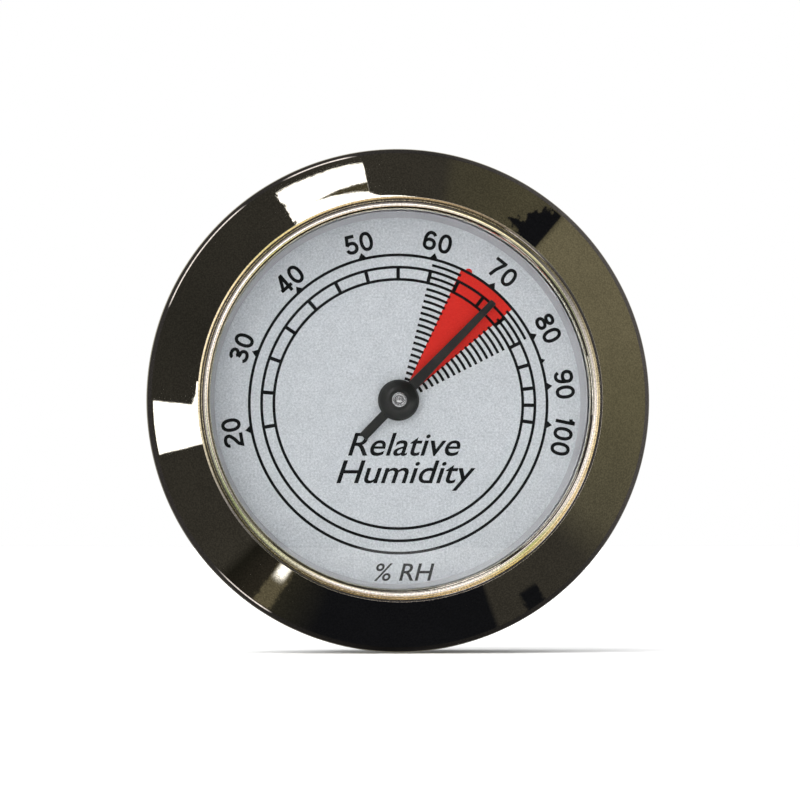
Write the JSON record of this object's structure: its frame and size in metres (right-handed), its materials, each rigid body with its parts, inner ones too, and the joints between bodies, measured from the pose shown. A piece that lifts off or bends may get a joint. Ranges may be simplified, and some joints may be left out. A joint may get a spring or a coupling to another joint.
{
  "type": "dial hygrometer",
  "caption": "Round panel hygrometer: convex spun bezel and flat lens over a printed dial, with a coiled humidity strip that turns the pointer and a calibration adjuster in the vented back.",
  "frame": {"origin": "on the instrument's axis, in the panel plane where the bezel's rear lip rests", "axes": "+Y along the instrument's axis into the panel, so the dial faces -Y; +Z towards twelve o'clock"},
  "size_m": [0.05, 0.0151, 0.05],
  "materials": {
    "bezel_metal": "polished, plated in a warm gunmetal tone",
    "gasket_rubber": "matte",
    "lens_glass": "clear, flat",
    "spacer_plastic": "satin light grey",
    "dial_aluminium": "fine grained, silver white",
    "pointer_paint": "satin black",
    "brass": "turned",
    "steel": "fine brushed",
    "coil_strip": "rolled strip with a pale coating on its outer side",
    "case_plastic": "fine spark texture"
  },
  "bodies": {
    "case": {"bezel": "bezel_metal", "lens_gasket": "gasket_rubber", "lens": "lens_glass", "spacer_ring": "spacer_plastic", "dial_plate": "dial_aluminium", "dial_feet": "brass", "front_bush": "brass", "bush_nut": "brass", "front_plate": "steel", "plate_screws": "steel", "left_pillar": "brass", "right_pillar": "brass", "bridge": "steel", "case_cup": "case_plastic", "case_screws": "steel"},
    "calibrator": {"adjuster": "brass", "friction_washer": "steel", "retaining_clip": "steel", "coil_arm": "steel", "coil_stud": "brass", "stud_pin": "steel", "stop_pin": "brass", "humidity_coil": "coil_strip"},
    "pointer": {"arbor": "steel", "coil_collet": "brass", "pointer": "pointer_paint", "pointer_hub": "pointer_paint"}
  },
  "joints": [
    {"name": "calibration", "type": "hinge", "parent": "case", "child": "calibrator", "pos_m": [0, 0.0084, 0], "axis": [0, 1, 0], "range_deg": [-30, 30]},
    {"name": "pointer_turn", "type": "hinge", "parent": "calibrator", "child": "pointer", "pos_m": [0, 0.002, 0], "axis": [0, 1, 0], "range_deg": [-144, 53.8], "stiffness_Nm_per_rad": 0.00004, "deforming": ["humidity_coil"]}
  ]
}
